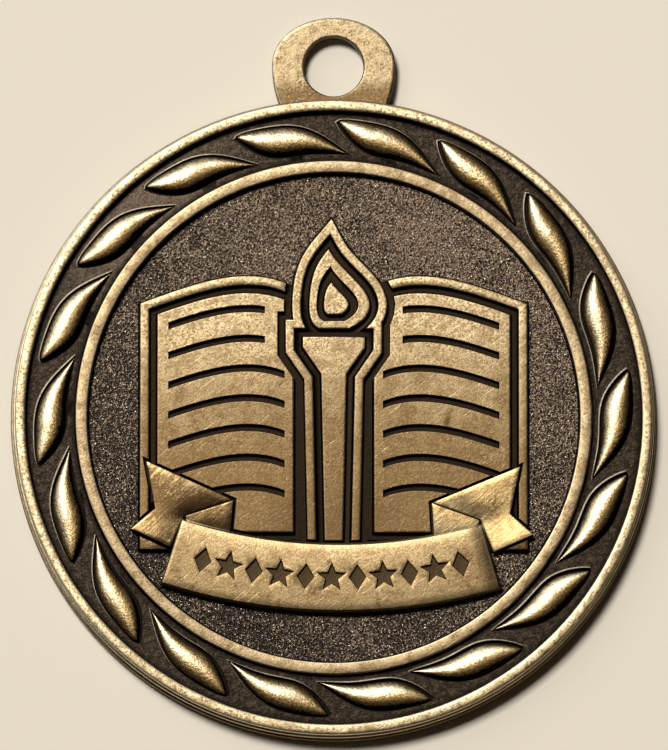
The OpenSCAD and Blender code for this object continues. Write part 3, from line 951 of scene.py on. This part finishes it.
def recessColour():
    # the dark finish of the field, the leaf band with its lips and a painted sheen towards its upper left,
    # the grooves and the signs
    r = recess
    fieldWear = plus(noise.stipple, centred(noise.blotch, r["blotch"]), times(at.y, r["palerUp"]),
                     times(at.x, r["palerRight"]))
    glint = ease(blend(noise.stipple, noise.sparkle, r["glintStipple"]), *r["glint"])
    fieldColour = layered(finish["field"], (ease(fieldWear, *r["fieldWorn"]), finish["fieldWarm"]),
                          (glint, finish["glint"]))
    # painted sheen: the band floor paler towards the upper left, where it faces the light
    paintedSheen = ease(distance(plus(at.x, -r["paintedSheenAt"][0]), plus(at.y, -r["paintedSheenAt"][1])), *r["paintedSheen"])
    bandWearAndSheen = ease(plus(blend(noise.mottle, noise.fine, r["bandMottle"]), paintedSheen), *r["bandWornAndSheen"])
    fromWall = smaller(plus(rimInside, times(at.radius, -1.0)), plus(at.radius, -ringRadius))
    bandColour = layered(finish["band"], (bandWearAndSheen, finish["bandWornAndSheen"]),
                         (ease(plus(fromWall, noise.uneven), *r["wall"]), finish["dark"]))
    return layered(finish["dark"], (on.flat, finish["groove"]), (times(on.sign, on.flat), finish["sign"]),
                   (times(on.leafBand, less(on.bandFloor)), finish["dark"]), (on.bandFloor, bandColour),
                   (on.lip, finish["lip"]), (on.field, fieldColour))


wearAndPaintedLight = {
    "speckMix": (0.2, 0.5, 0.3), "speck": (0.415, 0.575), "loopLess": 0.15, "loopEven": 0.12,
    "strokesAt": (-11.0, -13.0), "strokes": (0.5, 0.64), "goldSide": 0.8, "goldLeaf": (0.38, 0.56, 0.35, 1.0),
    "goldPanel": 0.15, "goldTails": (0.35, 0.8),
    "rimFine": (0.38, 0.58), "rimHeight": (2.98, 3.1), "ringFine": (0.4, 0.62, 0.1, 0.85),
    "foldAlong": (0.0, 6.0), "foldShare": 0.5, "emblemUp": (1.0, 10.0, 0.0, 0.5), "emblemFine": (0.42, 0.6),
    "loopPatch": 0.7, "loopPolish": (0.4, 0.6, 0.0, 0.65), "panelEdge": (0.15, 0.7, 0.25, 0.0),
    # the shoulder, edge, leaf crest and leaf flank ranges paint highlights and shade by how a face turns to
    # the light
    "scratchShare": 0.55, "paintedShoulderHighlight": (1.6, 2.7), "paintedShoulderHighlightShare": 0.8,
    "edgeUp": (0.985, 0.94), "edgeLit": (0.72, 0.88), "tailUp": (0.86, 0.93),
    "paintedHighlightRough": 0.3, "paintedHighlight": (0.83, 0.95), "amberLit": (0.78, 0.64), "amberUp": (0.78, 0.62, 0.0, 0.9),
    "deepRough": 0.6, "deep": (0.59, 0.46),
}


def goldenShare():
    w = wearAndPaintedLight
    strokes = times(on.tail, ease(at.along, *w["strokesAt"]), ease(noise.brushed, *w["strokes"]))
    return plus(times(on.outside, less(on.loop), w["goldSide"]),
                times(on.leafBand, ease(noise.fine, *w["goldLeaf"])), times(on.panel, w["goldPanel"]),
                times(on.tail, acrossTails(*w["goldTails"])), strokes)


def polishAndHighlightShare():
    # polish and wear, a painted highlight along the panel's top edge, and the emblem paler towards its top
    w = wearAndPaintedLight
    emblemPalerHigh = times(ease(at.y, *w["emblemUp"]), ease(noise.fine, *w["emblemFine"]))
    loopWear = ease(blend(noise.patch, noise.fine, w["loopPatch"]), *w["loopPolish"])
    return plus(times(on.rim, ease(noise.fine, *w["rimFine"]), ease(at.z, *w["rimHeight"])),
                times(on.ring, ease(noise.fine, *w["ringFine"])),
                times(on.fold, ease(at.along, *w["foldAlong"]), w["foldShare"]),
                times(on.emblem, less(on.tail), emblemPalerHigh),
                times(on.loop, loopWear),
                times(on.panel, easeFrom(at.bowRadius, banner["bow"], *w["panelEdge"])))


def brassColour():
    # speckled brass, then gold, polish and a painted highlight on the panel's top edge, painted highlights on
    # the leaves, scratches, tarnish with painted shade, painted highlights on lit edges and the outer
    # shoulder, painted shade on the leaves' sides and in the creases
    w = wearAndPaintedLight
    speckMix = (times(part, share) for part, share in
                zip((noise.mottle, noise.fine, noise.sparkle), w["speckMix"]))
    speck = times(ease(plus(*speckMix), *w["speck"]), less(times(on.loop, w["loopLess"])))
    # painted highlight on edges turned to the light
    edgePaintedHighlight = times(ease(at.up, *w["edgeUp"]), ease(at.lit, *w["edgeLit"]),
                      less(times(on.tail, ease(at.up, *w["tailUp"]))))
    # painted highlight on the outer walls near the top
    paintedShoulderHighlight = times(on.outside, less(on.loop), ease(at.z, *w["paintedShoulderHighlight"]), w["paintedShoulderHighlightShare"])
    # painted highlight where a leaf turns to the light
    leafLit = ease(plus(at.lit, times(noise.rough, w["paintedHighlightRough"])), *w["paintedHighlight"])
    # painted shade in amber where a leaf turns from the light, and amber on its steep flanks all round
    leafShade = larger(ease(plus(at.lit, noise.rough), *w["amberLit"]),
                       ease(plus(at.up, noise.rough), *w["amberUp"]))
    # painted shade, dark, where a leaf turns well away from the light
    leafPaintedDark = ease(plus(at.lit, times(noise.rough, w["deepRough"])), *w["deep"])
    return layered(
        finish["warm"],
        (plus(speck, times(on.loop, w["loopEven"])), finish["bright"]),
        (goldenShare(), finish["gold"]),
        # polish, with a painted highlight on the panel's top edge
        (polishAndHighlightShare(), finish["pale"]),
        # painted highlight on the leaves
        (times(on.leafBand, leafLit), finish["leafPaintedHighlight"]),
        (times(noise.scratches, less(on.leafBand), w["scratchShare"]), finish["pale"]),
        # tarnish with painted shade
        (shadeAndTarnishShare(), finish["shadeAndTarnish"]),
        # painted highlights on lit edges and on the outer shoulder
        (plus(times(edgePaintedHighlight, less(on.leafBand)), paintedShoulderHighlight), finish["paintedHighlight"]),
        (times(on.leafBand, leafShade), finish["amber"]),
        # painted shade in the creases and painted shadow under the banner
        (paintedCreaseShadeShare(), finish["paintedShadeBrown"]),
        (times(on.leafBand, leafPaintedDark), finish["dark"]))


dull = {"all": 0.36, "mottle": 0.14, "field": -0.11, "tail": -0.04, "leaf": 0.03}
# heights of the cast grain, the field's stipple and the fine scratches, in millimetres
relief = {
    "mottle": 0.008, "fine": 0.012, "field": 0.10, "leaf": 0.03, "band": 0.02, "tail": 0.008,
    "scratches": -0.004,
}


def finishBrass():
    shown = brassShows()
    plug(brassShader.inputs["Base Color"], mixColour(shown, recessColour(), brassColour()))
    brassShader.inputs["Metallic"].default_value = 1.0
    plug(brassShader.inputs["Roughness"],
         plus(dull["all"], times(noise.mottle, dull["mottle"]), times(on.field, dull["field"]),
              times(on.tail, dull["tail"]), times(on.leaf, dull["leaf"])))
    bump = brassNodes.new("ShaderNodeBump")
    bump.inputs["Strength"].default_value = 1.0
    bump.inputs["Distance"].default_value = millimetre
    plug(bump.inputs["Height"],
         plus(times(noise.mottle, relief["mottle"]), times(noise.fine, relief["fine"]),
              times(noise.stipple, on.field, relief["field"]), times(noise.fine, on.leaf, relief["leaf"]),
              times(noise.stipple, on.bandFloor, relief["band"]),
              times(noise.scratches, shown, relief["scratches"]),
              times(noise.brushed, on.tail, relief["tail"])))
    plug(brassShader.inputs["Normal"], bump.outputs["Normal"])


finishBrass()
medal.data.materials.clear()
medal.data.materials.append(antiqueBrass)
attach(medal, "root")
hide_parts("medallion")
print("medal finished")

stage = {
    "floor": 1.6, "colour": (0.82, 0.75, 0.635, 1), "roughness": 0.9, "specular": 0.1,
    "world": (0.97, 0.96, 0.95, 1), "worldStrength": 0.008,
}


def makeFloor():
    bm = bmesh.new()
    bmesh.ops.create_grid(bm, x_segments=4, y_segments=4, size=stage["floor"] / 2)
    floor = finishMesh(bm, "floor")
    material, shader = makeMaterial("paleFloor")
    shader.inputs["Base Color"].default_value = stage["colour"]
    shader.inputs["Roughness"].default_value = stage["roughness"]
    shader.inputs["Specular IOR Level"].default_value = stage["specular"]
    floor.data.materials.append(material)


lamps = {
    "key": {"place": (-0.345, 0.597, 1.75), "size": 0.35, "power": 32.6, "colour": (1.0, 0.975, 0.93)},
    "fill": {"place": (0.8, -1.05, 1.3), "size": 0.5, "power": 0.5, "colour": (1.0, 0.64, 0.34)},
    "softbox": {"place": (-1.2, 1.2, 1.71), "size": 1.3, "power": 8.8, "colour": (1.0, 0.985, 0.96)},
}


def makeLamps():
    for name, lamp in lamps.items():
        data = bpy.data.lights.new(name, "AREA")
        data.shape = "SQUARE"
        data.size = lamp["size"]
        data.energy = lamp["power"]
        data.color = lamp["colour"]
        light = bpy.data.objects.new(name, data)
        bpy.context.scene.collection.objects.link(light)
        light.location = lamp["place"]
        light.rotation_euler = (-Vector(lamp["place"])).to_track_quat("-Z", "Y").to_euler()
    world = bpy.data.worlds.new("paleStudio")
    bpy.context.scene.world = world
    world.use_nodes = True
    background = world.node_tree.nodes["Background"]
    background.inputs["Color"].default_value = stage["world"]
    background.inputs["Strength"].default_value = stage["worldStrength"]


view = {
    # tall in pixels and scale in pixels a millimetre; aim in millimetres, distance in metres
    "lean": (-0.6, -6.2), "distance": 0.8, "tall": 750, "scale": 12.735, "aim": (0.01, 3.26, 3.2),
    "sensor": 24.0, "clip": (0.01, 20),
}


def makeCamera():
    data = bpy.data.cameras.new("camera")
    data.sensor_fit = "VERTICAL"
    data.sensor_height = view["sensor"]
    halfTall = view["tall"] / view["scale"] / 2 * millimetre
    data.lens = view["sensor"] / 2 * view["distance"] / halfTall
    data.clip_start, data.clip_end = view["clip"]
    camera = bpy.data.objects.new("camera", data)
    bpy.context.scene.collection.objects.link(camera)
    aim = Vector(view["aim"]) * millimetre
    away = Vector([math.tan(math.radians(angle)) for angle in view["lean"]] + [1]).normalized()
    right = Vector((0, 1, 0)).cross(away).normalized()
    camera.location = aim + away * view["distance"]
    camera.rotation_euler = Matrix((right, away.cross(right), away)).transposed().to_euler()
    bpy.context.scene.camera = camera


makeFloor()
makeLamps()
makeCamera()
bpy.context.scene.view_settings.view_transform = "Standard"
print("stage set")

bpy.context.view_layer.update()
